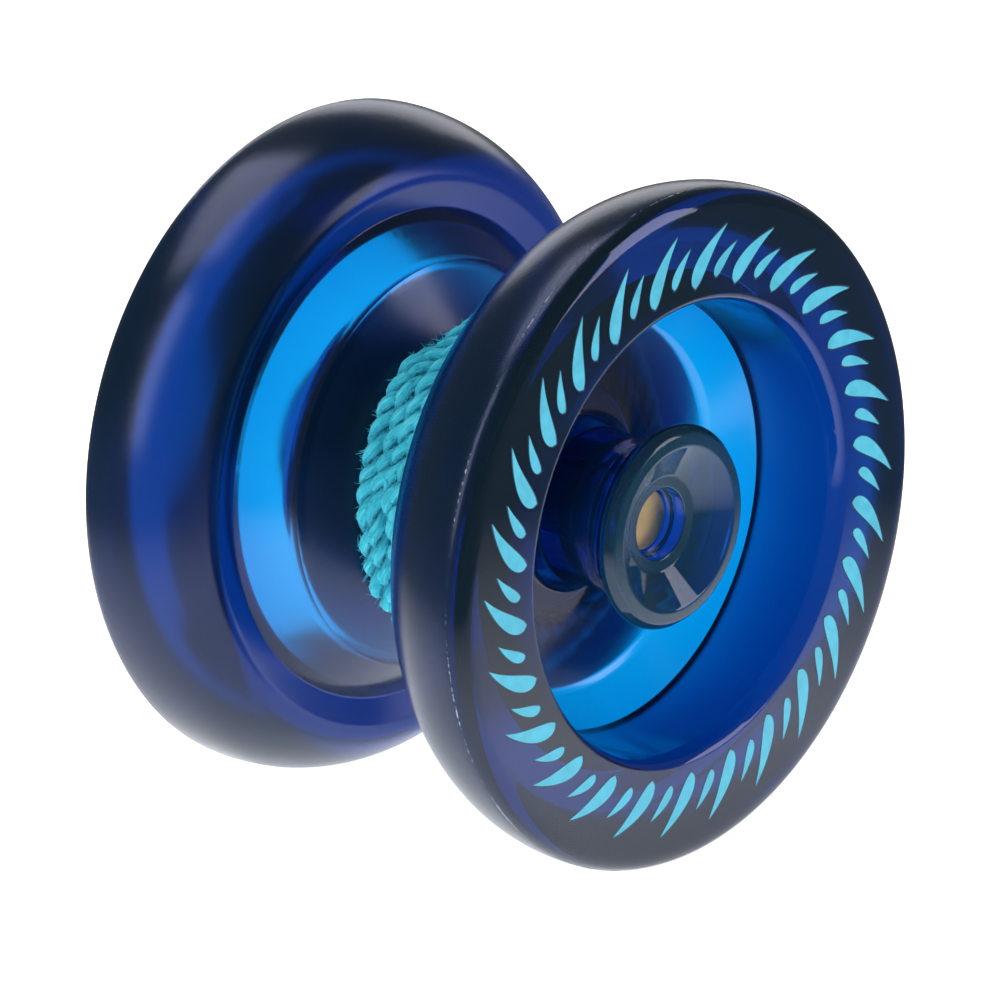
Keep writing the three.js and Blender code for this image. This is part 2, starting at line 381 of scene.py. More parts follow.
def material_graph(name):
    graph = Graph(bpy.data.materials.new(name), "OutputMaterial")
    place_in_object = graph.node("TexCoord").outputs["Object"]
    graph.position = graph.node("Mapping", {"Vector": place_in_object}).outputs[0]
    return graph


def blue_plastic():
    """Clear blue polycarbonate: its thickness sets its colour.

    The face and the hub are polished; the bulge and the string side are softer.
    """
    absorption = (2400.0, 298.0, 152.0)      # red, green and blue, per metre
    soft_roughness = 0.195
    satin_roughness = 0.12
    m = material_graph("blue_polycarbonate")
    radius, angle, y = m.polar()
    height = m.absolute(y)

    # bulge and shelf; the limit in height climbs with the radius
    climb = m.multiply(m.remap(radius, start=0.0190, end=0.0215), 0.0080)
    outer = m.multiply(
        m.remap(radius, start=0.0179, end=0.0207),
        m.remap(m.subtract(height, climb), start=0.0112, end=0.0120, to=FALL))
    # string side inside the web
    inner = m.multiply(
        m.remap(radius, start=0.0162, end=0.0169, to=FALL),
        m.remap(height, start=0.0062, end=0.0067, to=FALL))
    # the cup and the web carry a light satin
    satin = m.multiply(
        m.multiply(m.remap(radius, start=0.0088, end=0.0100),
                   m.remap(height, start=0.0186, end=0.0194, to=FALL)),
        m.remap(radius, start=0.0187, end=0.0192, to=(satin_roughness, 0.0)))

    # smudges, and hairline scratches that run round the axis and fade on the bulge
    smudge = m.noise(scale=140.0, detail=6.0, roughness=0.65, distortion=0.6)
    hairs = m.noise(m.streaks(radius, angle, y, across=9000.0, around=2.0),
                    scale=1.0, detail=2.0, roughness=0.5)
    scratch = m.multiply(m.remap(hairs, start=0.62, end=0.80), 0.03)
    unscuffed = m.subtract(1.0, m.minimum(m.multiply(outer, 1.3), 1.0))
    rough = m.add(m.remap(smudge, start=0.35, end=0.75, to=(0.02, 0.07)),
                  m.multiply(scratch, unscuffed))
    soft = m.multiply(m.maximum(outer, inner), soft_roughness)
    rough = m.add(rough, m.maximum(soft, satin))

    # broken pale line along the parting line of half a, also rougher: its pale colour is a painted
    # highlight on the mould flash
    off_seam = m.absolute(m.subtract(height, SEAM_Y * MM))
    seam_line = m.multiply(m.remap(off_seam, start=0.000025, end=0.00006, to=FALL),
                           m.remap(radius, start=0.0270, end=0.0272))
    seam_line = m.multiply(seam_line, m.remap(y, start=-0.001, end=0.001, to=FALL))
    dashes = m.noise(scale=2600.0, detail=3.0, roughness=0.7)
    runs = m.noise(scale=160.0, detail=2.0, roughness=0.5)
    flash_and_glint = m.multiply(seam_line, m.multiply(
        m.remap(dashes, start=0.50, end=0.60),
        m.remap(runs, start=0.46, end=0.54, to=(0.10, 1.0))))
    rough = m.add(rough, m.multiply(flash_and_glint, 0.3))

    # the thick hub post is a little milky; the seam line's pale painted highlight is mixed in here
    # as well
    post = m.multiply(m.remap(radius, start=0.0085, end=0.0092, to=FALL),
                      m.remap(height, start=0.0110, end=0.0150))
    haze_and_seam_glint = m.add(m.multiply(flash_and_glint, 0.85), m.multiply(post, 0.065))

    cloud = m.noise(scale=90.0, detail=5.0, roughness=0.6)
    blue = m.ramp(cloud, (0.3, (0.06, 0.45, 0.87)), (0.75, (0.08, 0.54, 0.92)))
    waves = m.noise(scale=55.0, detail=2.0, roughness=0.4)
    m.principled({
        "IOR": 1.585,
        "Specular Tint": m.mix(outer, (0.84, 0.82, 1.0, 1), (0.58, 0.62, 1.0, 1)),
        "Transmission Weight": m.subtract(0.974, haze_and_seam_glint),
        # the pale colour along the seam of half a is a painted highlight
        "Base Color": m.mix(flash_and_glint, blue, (0.85, 0.88, 0.92, 1)),
        "Roughness": rough,
        "Normal": m.bump(waves, strength=0.03, distance=0.0004)})
    density = max(absorption)
    volume = m.node("VolumeAbsorption", {
        "Density": density, "Color": (*(1 - value / density for value in absorption), 1)})
    return m.finish(volume, "Volume")


def metal(name, color, rough, variation=0.06, mark_depth=0.00002):
    """Turned metal with fine marks round the axis and slight stains."""
    m = material_graph(name)
    turning = m.noise(m.streaks(*m.polar(), across=14000.0, around=0.6),
                      scale=1.0, detail=3.0, roughness=0.6)
    stain = m.noise(scale=420.0, detail=5.0, roughness=0.6, distortion=0.4)
    dark = tuple(c * (1 - 2.2 * variation) for c in color)
    light = tuple(min(1, c * (1 + variation)) for c in color)
    return m.principled({
        "Base Color": m.ramp(stain, (0.3, dark), (0.7, light)),
        "Metallic": 1.0,
        "Roughness": m.add(
            m.remap(stain, start=0.3, end=0.8, to=(rough * 0.8, rough * 1.5)),
            m.remap(turning, start=0.3, end=0.8, to=(0.0, 0.10))),
        "Normal": m.bump(turning, strength=0.35, distance=mark_depth)})


def silicone():
    m = material_graph("silicone")
    grain = m.noise(scale=5200.0, detail=3.0, roughness=0.6)
    dirt = m.noise(scale=260.0, detail=6.0, roughness=0.6, distortion=0.3)
    return m.principled({
        "Base Color": m.ramp(dirt, (0.30, (0.50, 0.55, 0.58)), (0.55, (0.72, 0.75, 0.77)),
                             (0.8, (0.80, 0.82, 0.84))),
        "Roughness": m.remap(grain, start=0.2, end=0.8, to=(0.45, 0.75)),
        "Subsurface Weight": 0.25,
        "Subsurface Radius": (1, 1, 1),
        "Subsurface Scale": 0.0006,
        "Normal": m.bump(grain, strength=0.4, distance=0.00003)})


def teal_cord():
    """Spun polyester: fine fibres along each ply and a pale nap, with painted shade between the
    plies and painted light on their outsides and on the loose fibres.
    """
    m = material_graph("teal_cord")
    along_ply = m.node("Attribute", attribute_name="lay").outputs["Vector"]
    crease = m.node("Attribute", attribute_name="crease").outputs["Fac"]
    fine = m.noise(along_ply, scale=1.0, detail=3.0, roughness=0.65)
    coarse = m.noise(along_ply, scale=0.38, detail=2.0, roughness=0.5)
    patch = m.noise(scale=320.0, detail=4.0, roughness=0.6)
    # shares of the three noises in the fleck
    fleck = m.add(m.multiply(fine, 0.55),
                  m.add(m.multiply(coarse, 0.25), m.multiply(patch, 0.2)))
    teal = m.ramp(fleck, (0.32, (0.018, 0.33, 0.46)), (0.5, (0.045, 0.61, 0.80)),
                  (0.64, (0.15, 0.84, 0.98)))
    # painted shade between the plies, and painted light on their outsides and on the fibres
    painted_light_and_shade = m.ramp(crease, (0.0, (0.42, 0.52, 0.58)), (0.40, (0.90, 0.94, 0.96)),
                   (0.8, (1.05, 1.05, 1.05)), (1.0, (1.2, 1.15, 1.12)))
    lumps = m.bump(coarse, strength=0.6, distance=0.00010)
    return m.principled({
        "Base Color": m.mix(1.0, teal, painted_light_and_shade, blend_type="MULTIPLY"),
        "Roughness": m.remap(patch, start=0.2, end=0.8, to=(0.75, 1.0)),
        "Specular IOR Level": 0.25,
        "Sheen Weight": 0.4,
        "Sheen Roughness": 0.5,
        "Sheen Tint": (0.45, 0.92, 1.0, 1),
        "Normal": m.bump(fine, strength=1.0, distance=0.00011, under=lumps)})


def ink(name, color):
    rough = 0.35
    m = material_graph(name)
    mottle = m.noise(scale=900.0, detail=5.0, roughness=0.6)
    dark = tuple(c * 0.86 for c in color)
    light = tuple(min(1, c * 1.05) for c in color)
    grain = m.noise(scale=6000.0, detail=3.0, roughness=0.6)
    return m.principled({
        "Base Color": m.ramp(mottle, (0.3, dark), (0.65, light)),
        "Roughness": m.remap(mottle, start=0.3, end=0.8, to=(rough * 0.8, rough * 1.4)),
        "Normal": m.bump(grain, strength=0.15, distance=0.00001)})


BLUE = blue_plastic()
BRASS = metal("brass", color=(0.80, 0.58, 0.32), rough=0.28, variation=0.05)
ALUMINIUM = metal("aluminium", color=(0.74, 0.75, 0.77), rough=0.28)
STEEL = metal("steel", color=(0.56, 0.57, 0.58), rough=0.25)
POLISHED = metal("polished_steel", color=(0.72, 0.73, 0.74), rough=0.10, mark_depth=0.000006)
SILICONE = silicone()
CORD = teal_cord()
CYAN_INK = ink("cyan_ink", color=(0.08, 0.62, 0.86))
DARK_INK = ink("dark_ink", color=(0.015, 0.05, 0.11))


# ================================================================  half bodies
# corners as (r, y, fillet radius), from the bore out through the cup to the face ring
CUP = [
    (2.56, 14.42, 0.05), (2.56, 15.85, 0.10), (2.92, 15.85, 0.06), (2.92, 17.00, 0.16),
    (3.95, 17.06, 0.5), (6.73, 18.92, 0.55), (7.75, 18.80, 0.5), (8.46, 17.90, 0.55),
    (7.15, 16.05, 1.6), (6.25, 13.9, 4.0), (6.25, 9.6, 1.2), (7.10, 8.25, 0.7),
    (15.57, 8.64, 1.2), (17.83, 12.04, 0.15), (18.32, 18.9, 1.2), (18.85, FACE_Y, 0.75),
    (20.6, FACE_Y, 0.0),
]
# the same, from the shelf in along the string side, round the pad groove and up the bore
STRING_SIDE = [
    (WEB_FOOT[0] + (SHELF_Y - WEB_FOOT[1]) / WEB_SLOPE, SHELF_Y, 0.18), (*WEB_FOOT, 0.22),
    (10.15, 2.42, 0.5), (9.56, 2.16, 0.12), (9.56, 3.35, 0.10), (7.28, 3.35, 0.10),
    (7.28, 2.16, 0.10), (6.62, 2.16, 0.12), (6.62, 2.76, 0.08), (4.46, 2.76, 0.08),
    (4.46, 4.46, 0.05), (3.04, 4.46, 0.05), (3.04, 14.42, 0.05),
]


def superellipse(centre_r, centre_y, width, height, power, start, end, steps):
    """Corners without fillet; start and end are parameters, where 0 is the widest point."""
    points = []
    for i in range(steps + 1):
        t = start + (end - start) * i / steps
        points.append((centre_r + width * math.cos(t) ** (2 / power),
                       centre_y + height * math.sin(t) ** (2 / power), 0.0))
    return points


def shelf_curve(start):
    """Cubic Bezier from the end of the bulge to the shelf."""
    handles = (start, (start[0] - 0.90, start[1] - 0.93),
               (SHELF_END[0] + 0.65, SHELF_END[1] - 0.20), SHELF_END)
    steps = 18
    points = []
    for k in range(1, steps + 1):
        t = k / steps
        weights = ((1 - t) ** 3, 3 * t * (1 - t) ** 2, 3 * t * t * (1 - t), t ** 3)
        points.append((sum(w * q[0] for w, q in zip(weights, handles)),
                       sum(w * q[1] for w, q in zip(weights, handles)), 0.0))
    return points


def half_section():
    face = superellipse(FACE_EDGE_R, RIM_Y, width=RIM_R - FACE_EDGE_R, height=FACE_Y - RIM_Y,
                        power=2.53, start=math.pi / 2, end=0, steps=16)
    width, power = RIM_R - BULGE_CENTRE_R, 2.02
    end = math.acos(((BULGE_END_R - BULGE_CENTRE_R) / width) ** (power / 2))
    bulge = superellipse(BULGE_CENTRE_R, RIM_Y, width=width, height=-BULGE_DEPTH,
                         power=power, start=0, end=end, steps=24)[1:]
    return fillet(CUP + face + bulge + shelf_curve(bulge[-1]) + STRING_SIDE, 8.0)


def seam_relief(angle, r, y):
    """A hair-thin, uneven flash line where the mould closed."""
    distance = abs(abs(y) - SEAM_Y)
    if r < 27.0 or distance > SEAM_HALF_WIDTH:
        return 0.0
    uneven = noise.noise(Vector((math.cos(angle) * 40, math.sin(angle) * 40, 3.1)))
    height = max(0.022 + 0.02 * uneven, 0.004)
    return height * (1 - (distance / SEAM_HALF_WIDTH) ** 2)


def seam_rows(start, end):
    """Six rows on edges beside the seam, so that its ridge is real."""
    beside = (start[0] > 26.8 and end[0] > 26.8
              and min(start[1], end[1]) < 19.15 and max(start[1], end[1]) > 18.75)
    return 6 if beside else 1


def even_rows(start, end):
    longest = 1.2
    return int(math.ceil(math.dist(start, end) / longest))


def half_body(tag, side):
    section = subdivide(subdivide(half_section(), seam_rows), even_rows)
    ob = lathe(f"half_{tag}_moulding", [(r, y * side) for r, y in section], 240,
               relief=seam_relief)
    place(ob, BLUE, f"half_{tag}", replaces=f"half_{tag}_body")


for tag, side in SIDES:
    half_body(tag, side)


# =================================================  inserts, spacers and pads
# corners as (r, y, fillet radius)
INSERT = [
    (0.0, 15.30, 0.0), (2.50, 15.30, 0.12), (2.50, 14.35, 0.05), (INSERT_R, 14.35, 0.12),
    (INSERT_R, 12.2, 0.0), (INSERT_R, 12.0, 0.0), (2.72, 11.9, 0.0), (2.72, 11.3, 0.0),
    (INSERT_R, 11.2, 0.0), (INSERT_R, 4.48, 0.1), (2.38, 4.48, 0.03), (2.08, 4.78, 0.0),
    (2.08, 12.0, 0.0), (0.0, 13.0, 0.0),
]
SPACER = [
    (2.085, 0.06, 0.05), (3.13, 0.06, 0.12), (3.13, 2.41, 0.04), (4.15, 2.41, 0.05),
    (4.40, 2.86, 0.08), (4.40, 4.43, 0.1), (2.085, 4.43, 0.05),
]
PAD = [(7.36, 2.24, 0.12), (9.48, 2.24, 0.12), (9.48, 3.30, 0.1), (7.36, 3.30, 0.1)]


def knurl(angle, r, y):
    """Forty ribs on the insert's full radius."""
    if abs(r - INSERT_R) > 0.02:
        return 0.0
    return 0.035 * math.cos(angle * 40) - 0.03


for tag, side in SIDES:
    half = f"half_{tag}"
    insert = turned(f"brass_insert_{tag}", INSERT, 160, side, closed=False, relief=knurl)
    place(insert, BRASS, half, replaces=f"threaded_insert_{tag}")
    spacer = turned(f"spacer_{tag}", SPACER, 96, side)
    place(spacer, ALUMINIUM, "half_a" if tag == "a" else "spacer_b",
          replaces=f"bearing_spacer_{tag}")
    pad = turned(f"response_ring_{tag}", PAD, 128, side)
    place(pad, SILICONE, half, replaces=f"response_pad_{tag}")


# ----------------------------------------------------------------- axle stud
def thread_height(angle, y):
    """0 at the root, 1 at the crest, of a right-hand thread."""
    flat = 0.12
    turn = (y / THREAD_PITCH - angle / (2 * math.pi)) % 1.0
    rise = abs(turn - 0.5) * 2.0
    return min(1.0, max(0.0, (rise - flat) / (1 - 2.2 * flat)))


def stud_radius(angle, y):
    """Thread on a root radius of 1.60, tapered away at both ends."""
    from_end = min(y + STUD_HALF_LENGTH, STUD_HALF_LENGTH - y)
    return min(1.60 + 0.39 * thread_height(angle, y), 1.62 + max(0.0, from_end) * 0.9)


def threaded_rod(name):
    """Stud with a plain end at -Y and a hexagon socket at +Y."""
    sides = 64
    length = 2 * STUD_HALF_LENGTH
    rows = round(length / 0.07)
    verts, faces = [], []

    def add_ring(radius_at, y):
        for k in range(sides):
            angle = 2 * math.pi * k / sides
            verts.append(polar_point(radius_at(angle, y), angle, y))

    for i in range(rows + 1):
        add_ring(stud_radius, -STUD_HALF_LENGTH + i * length / rows)
    for i in range(rows):
        faces += ring_quads(i * sides, (i + 1) * sides, sides)
    centre = len(verts)
    verts.append((0, -STUD_HALF_LENGTH, 0))
    for k in range(sides):
        faces.append((centre, (k + 1) % sides, k))

    last = rows * sides
    # socket rings: corner radius and y
    for corner_r, ring_y in ((1.16, STUD_HALF_LENGTH), (1.12, 10.92), (1.12, 9.0)):
        def hexagon(angle, y):
            from_flat = (angle + math.pi / 6) % (math.pi / 3) - math.pi / 6
            return corner_r * math.cos(math.pi / 6) / math.cos(from_flat)

        start = len(verts)
        add_ring(hexagon, ring_y)
        faces += ring_quads(last, start, sides)
        last = start
    bottom = len(verts)
    verts.append((0, 8.6, 0))
    for k in range(sides):
        faces.append((last + k, last + (k + 1) % sides, bottom))
    ob = mesh_object(name, verts, faces)
    with editing(ob.data) as bm:
        face_outward(bm)
    sharpen(ob.data, 35)
    return ob


place(threaded_rod("axle_screw"), STEEL, "half_a", replaces="axle_stud")


# ------------------------------------------------------------------- bearing
def groove(sign, start, end):
    """Corners of a ball groove; sign is -1 for the inner race and 1 for the outer."""
    steps = 14
    points = []
    for i in range(steps + 1):
        angle = start + (end - start) * i / steps
        points.append((BALL_CIRCLE_R + sign * GROOVE_R * math.cos(angle),
                       GROOVE_R * math.sin(angle), 0.0))
    return points


def inner_race():
    half_arc = math.acos((BALL_CIRCLE_R - INNER_LAND_R) / GROOVE_R)
    corners = [
        (BORE_R, -RACE_HALF_WIDTH, 0.14), (INNER_LAND_R, -RACE_HALF_WIDTH, 0.1),
        *groove(-1, -half_arc, half_arc),
        (INNER_LAND_R, RACE_HALF_WIDTH, 0.1), (BORE_R, RACE_HALF_WIDTH, 0.14),
    ]
    ob = turned("inner_race", corners, 128, step=12)
    place(ob, POLISHED, "half_a", replaces="bearing_inner_race")


def outer_race():
    half_arc = math.acos((OUTER_LAND_R - BALL_CIRCLE_R) / GROOVE_R)
    waist = [(BEARING_R - WAIST_DEPTH * (1 - (y / WAIST_HALF_WIDTH) ** 2), y, 0.0)
             for y in np.linspace(-WAIST_HALF_WIDTH, WAIST_HALF_WIDTH, 15)]
    # lip, shield groove and land at the +Y end, mirrored for the other end
    end = [
        (5.42, RACE_HALF_WIDTH, 0.05), (5.42, 2.20, 0.02), (5.63, 2.20, 0.02),
        (5.63, 1.74, 0.02), (OUTER_LAND_R, 1.74, 0.04),
    ]
    corners = [
        (5.42, -RACE_HALF_WIDTH, 0.05), (BEARING_R, -RACE_HALF_WIDTH, 0.14),
        (BEARING_R, -WAIST_HALF_WIDTH, 0.0), *waist[1:-1], (BEARING_R, WAIST_HALF_WIDTH, 0.0),
        (BEARING_R, RACE_HALF_WIDTH, 0.14), *end,
        *groove(1, half_arc, -half_arc),
        *[(r, -y, radius) for r, y, radius in end[:0:-1]],
    ]
    ob = turned("outer_race", corners, 128, step=12)
    place(ob, POLISHED, "string_line", replaces="bearing_outer_race")


def shield(tag, side):
    corners = [
        (4.42, 1.77, 0.04), (5.05, 1.77, 0.05), (5.12, 1.79, 0.02), (5.58, 1.79, 0.03),
        (5.58, 1.94, 0.03), (5.12, 1.94, 0.03), (4.98, 1.92, 0.05), (4.42, 1.92, 0.04),
    ]
    ob = turned(f"shield_{tag}", corners, 128, side)
    place(ob, STEEL, "string_line", replaces=f"bearing_shield_{tag}")


def clip_ring(tag, side):
    """Open ring of round-edged flat wire."""
    section = [(5.30, 1.99), (5.34, 1.965), (5.50, 1.965), (5.56, 2.0),
               (5.56, 2.13), (5.50, 2.165), (5.34, 2.165), (5.30, 2.14)]
    start, end = math.radians(104), math.radians(436)
    steps, count = 120, len(section)
    verts, faces = [], []
    for i in range(steps + 1):
        angle = start + (end - start) * i / steps
        verts += [polar_point(r, angle, side * y) for r, y in section]
    for i in range(steps):
        faces += ring_quads(i * count, (i + 1) * count, count)
    faces.append(tuple(range(count)))
    faces.append(tuple(steps * count + j for j in reversed(range(count))))
    ob = mesh_object(f"clip_{tag}", verts, faces)
    with editing(ob.data) as bm:
        face_outward(bm)
    sharpen(ob.data, 50)
    place(ob, STEEL, "string_line", replaces=f"shield_clip_{tag}")


def add_sphere(bm, centre, radius):
    bmesh.ops.create_icosphere(bm, subdivisions=4, radius=radius * MM,
                               matrix=Matrix.Translation(Vector(centre) * MM))


def object_from_bmesh(name, bm):
    mesh = bpy.data.meshes.new(name)
    bm.to_mesh(mesh)
    bm.free()
    set_smooth(mesh)
    return link_object(name, mesh)


def balls_and_cage():
    cage = turned("ball_cage", [(4.44, -1.16, 0.06), (5.08, -1.16, 0.06), (5.08, 1.16, 0.06),
                                (4.44, 1.16, 0.06)], 160)
    pockets_bm = bmesh.new()
    for i in range(BALL_COUNT):
        centre = polar_point(BALL_CIRCLE_R, i / BALL_COUNT * 2 * math.pi, 0.0)
        ball_bm = bmesh.new()
        add_sphere(ball_bm, centre, BALL_R)
        place(object_from_bmesh(f"bearing_ball_{i + 1:02d}", ball_bm), POLISHED,
              "ball_set", replaces=f"ball_{i + 1:02d}")
        add_sphere(pockets_bm, centre, POCKET_R)
    pockets = object_from_bmesh("pockets", pockets_bm)
    cut = cage.modifiers.new("pockets", "BOOLEAN")
    cut.operation = "DIFFERENCE"
    cut.solver = "EXACT"
    cut.object = pockets
    bpy.context.view_layer.update()
    depsgraph = bpy.context.evaluated_depsgraph_get()
    mesh = bpy.data.meshes.new_from_object(cage.evaluated_get(depsgraph), depsgraph=depsgraph)
    cage.modifiers.clear()
    cage.data = mesh
    bpy.data.objects.remove(pockets)
    set_smooth(mesh)
    sharpen(mesh, 32)
    place(cage, STEEL, "ball_set", replaces="bearing_cage")


inner_race()
outer_race()
for tag, side in SIDES:
    shield(tag, side)
    clip_ring(tag, side)
balls_and_cage()


# ==================================================================  string
# radius, from y, to y, turns, start angle, samples in a twist, ply sides, bulge where loosened
LAYERS = (
    (7.38, -1.20, 1.20, 2.4, 0.3, 6, 6, 0.0),
    (8.55, 1.20, -1.20, 2.4, 2.8, 6, 6, 0.0),
    (9.75, -1.15, 1.15, 2.4, 5.3, 6, 6, 0.0),
    (11.25, 1.95, -1.95, 3.3, 1.6, 18, 8, 0.0),
    (12.75, -2.80, 2.80, 4.4, 3.5, 30, 10, 0.5),
)
FIBRE_COUNT = 7200


class CordMesh:
    """Cord vertices and faces, with the two attributes that the cord material reads.

    One attribute paints shade and light: 0 between the plies, painted darker, and 1 on their
    outside, painted lighter; lay holds coordinates along a ply.
    """

    def __init__(self):
        self.verts, self.faces, self.crease, self.lay = [], [], [], []

    def add_vertex(self, point, crease, lay):
        self.verts.append(tuple(point))
        self.crease.append(crease)
        self.lay.append(lay)

    def to_object(self, name):
        ob = mesh_object(name, self.verts, self.faces)
        unify_normals(ob.data)
        crease = ob.data.attributes.new("crease", "FLOAT", "POINT")
        crease.data.foreach_set("value", np.array(self.crease, np.float32))
        lay = ob.data.attributes.new("lay", "FLOAT_VECTOR", "POINT")
        lay.data.foreach_set("vector", np.array(self.lay, np.float32).ravel())
        return ob


def wobble(seed, angles, *, frequency, amount):
    return np.array([
        amount * noise.noise(Vector((math.cos(a) * frequency, math.sin(a) * frequency,
                                     seed * 7.31)))
        for a in angles])


def unit_rows(vectors):
    return vectors / np.linalg.norm(vectors, axis=1, keepdims=True)


def across_rows(vectors, along):
    """Unit vectors left when the part along the given directions is taken away."""
    return unit_rows(vectors - (vectors * along).sum(1, keepdims=True) * along)


def lay_strand(seed, radius, y_from, y_to, turns, start, per_twist, loosened):
    """Centre line of one wound layer: a slow helix from y_from to y_to.

    Its ends dip under the layer, where the strand passes to the next one.
    Returns its points, two directions across it, the length run and the twist angle.
    """
    length = 2 * math.pi * radius * turns
    share = np.linspace(0, 1, int(length / TWIST * per_twist) + 1)
    angle = start + 2 * math.pi * turns * share
    r = (radius + wobble(seed, angle, frequency=2.2, amount=0.20)
         + wobble(seed + 9, angle * 0.9, frequency=6.0, amount=0.24))
    y = (y_from + (y_to - y_from) * share
         + wobble(seed + 20, angle * 0.73, frequency=3.0, amount=0.80))
    y = np.clip(y, -2.95, 2.95)
    # turns on the +Y side bulge out round one angle
    bulge_angle, bulge_spread = math.radians(236), 0.20
    off_bulge = ((angle - bulge_angle) + math.pi) % (2 * math.pi) - math.pi
    bulge = np.exp(-(off_bulge / bulge_spread) ** 2)
    r = r + loosened * bulge * np.clip((y + 0.6) / 2.4, -0.4, 1.0)
    dip_depth, dip_length = 1.1, 2.6
    from_end = np.minimum(share, 1 - share) * length
    r = r - dip_depth * np.exp(-(from_end / dip_length) ** 2)

    points = np.stack([r * np.sin(angle), y, r * np.cos(angle)], 1)
    along = unit_rows(np.gradient(points, axis=0))
    radial = np.stack([np.sin(angle), np.zeros_like(angle), np.cos(angle)], 1)
    outward = across_rows(radial, along)
    sideways = np.cross(along, outward)
    run = np.r_[0, np.cumsum(np.linalg.norm(np.diff(points, axis=0), axis=1))]
    twist = (2 * math.pi * run / TWIST
             + wobble(seed + 50, angle * 0.81, frequency=3.0, amount=2.6))
    return points, outward, sideways, run, twist


def add_ply(cord, strand, which, sides, seed):
    """Adds one of the strand's two plies; returns its points and its three directions."""
    points, strand_out, strand_side, run, twist = strand
    angle = twist + which * math.pi
    offset = PLY_R * 0.80
    centre = points + offset * (strand_out * np.cos(angle)[:, None]
                                + strand_side * np.sin(angle)[:, None])
    along = unit_rows(np.gradient(centre, axis=0))
    outward = across_rows(centre - points, along)      # away from the strand's middle
    sideways = np.cross(along, outward)
    base = len(cord.verts)
    around = 2 * math.pi * np.arange(sides) / sides
    for i, s in enumerate(run):
        puff = 1.0 + 0.22 * noise.noise(Vector((s * 0.9, seed * 3.7, which * 11.0)))
        for w in around:
            c, d = math.cos(w), math.sin(w)
            lumps = noise.noise(Vector((c * 1.6, d * 1.6, s * 1.7 + seed)))
            ribs = math.cos(5 * w + s * 2.6)
            radius = PLY_R * puff * (1.0 + 0.035 * ribs + 0.05 * lumps)
            # flattened where the two plies press together
            radius = radius * (0.86 if c < -0.3 else 1.0)
            spin = w + s * 1.1
            # painted shade where the plies meet, painted light on their outsides
            cord.add_vertex(
                centre[i] + (outward[i] * c + sideways[i] * d * 1.06) * radius,
                crease=0.5 + 0.5 * c,
                lay=(s * 0.9 + seed * 13.0, math.cos(spin) * 3.4, math.sin(spin) * 3.4))
    for i in range(len(run) - 1):
        a, b = base + i * sides, base + (i + 1) * sides
        for j in range(sides):
            k = (j + 1) % sides
            cord.faces.append((a + j, b + j, b + k, a + k))
    cord.faces.append(tuple(base + j for j in reversed(range(sides))))
    cord.faces.append(tuple(base + (len(run) - 1) * sides + j for j in range(sides)))
    return centre, along, outward, sideways


def add_fibre(cord, start, direction, length, curl, radius, rng):
    """Adds a thin, three-sided, tapering and curling hair."""
    steps, sides = 4, 3
    heading = Vector(direction).normalized()
    point = Vector(start)
    drift = Vector(rng.normal(size=3)).normalized()
    base = len(cord.verts)
    for s in range(steps + 1):
        thickness = radius * (1.0 - 0.75 * s / steps)
        a = heading.orthogonal().normalized()
        b = heading.cross(a)
        for k in range(sides):
            angle = 2 * math.pi * k / sides
            # fibres carry the full painted light of the plies' outsides
            cord.add_vertex(point + (a * math.cos(angle) + b * math.sin(angle)) * thickness,
                            crease=1.0, lay=(base * 0.37, k * 0.2, s * 0.1))
        point = point + heading * (length / steps)
        shake = Vector(rng.normal(size=3))
        heading = (heading + drift * curl + shake * curl * 0.5).normalized()
    for s in range(steps):
        cord.faces += ring_quads(base + s * sides, base + (s + 1) * sides, sides)
    end = base + steps * sides
    cord.faces.append((base + 2, base + 1, base))
    cord.faces.append((end, end + 1, end + 2))


def string_turns():
    """Builds the wound string and returns the two plies of its outermost layer."""
    cord = CordMesh()
    for k, (*course, sides, loosened) in enumerate(LAYERS):
        strand = lay_strand(k + 1, *course, loosened)
        plies = [add_ply(cord, strand, which, sides, k * 2 + which) for which in (0, 1)]
    place(cord.to_object("string_turns"), CORD, "string_line",
          replaces="string_winding")
    return plies


def string_fuzz(plies):
    """Loose fibres that stand off or lie along the outermost plies."""
    cord = CordMesh()
    rng = np.random.RandomState(11)
    made = 0
    while made < FIBRE_COUNT:
        centre, along, outward, sideways = plies[rng.randint(2)]
        i = rng.randint(8, len(centre) - 8)
        radial = np.array([centre[i][0], 0, centre[i][2]])
        radial /= np.linalg.norm(radial)
        w = rng.uniform(0, 2 * math.pi)
        normal = outward[i] * math.cos(w) + sideways[i] * math.sin(w)
        # none on the hidden side, unless it faces along the axis
        if normal @ radial < 0.1 and abs(normal[1]) < 0.6:
            continue
        lying = rng.rand() < 0.40
        lift = rng.uniform(0.02, 0.25) if lying else rng.uniform(0.3, 1.0)
        lean = rng.choice([-1, 1]) if lying else rng.normal() * 0.8
        direction = (normal * lift + along[i] * lean
                     + np.cross(along[i], normal) * rng.normal() * 0.35 + radial * 0.12)
        start = centre[i] + normal * PLY_R * 0.97
        length = rng.uniform(0.4, 0.9) if rng.rand() < 0.92 else rng.uniform(0.9, 1.3)
        # short where it would point into a half
        if abs(start[1]) > 3.3 and direction[1] * start[1] > 0:
            length *= 0.4
        add_fibre(cord, start, direction, length, curl=rng.uniform(0.05, 0.35),
                  radius=rng.uniform(0.034, 0.058), rng=rng)
        made += 1
    place(cord.to_object("string_fuzz"), CORD, "string_line")


string_fuzz(string_turns())


# ============================================================  face ornament
BLADE_PAIRS = 26
# turn from the pair's angle, inner radius, outer radius, sweep, width
BLADES = ((0.0, 20.05, 24.85, 0.155, 1.62), (0.122, 20.65, 23.45, 0.095, 1.08))
# growth of the outline, height along -Y, material index: a dark edge under a cyan fill
PRINT_COATS = ((0.16, 20.335, 1), (0.0, 20.342, 0))
PRINT_THICKNESS = 0.012


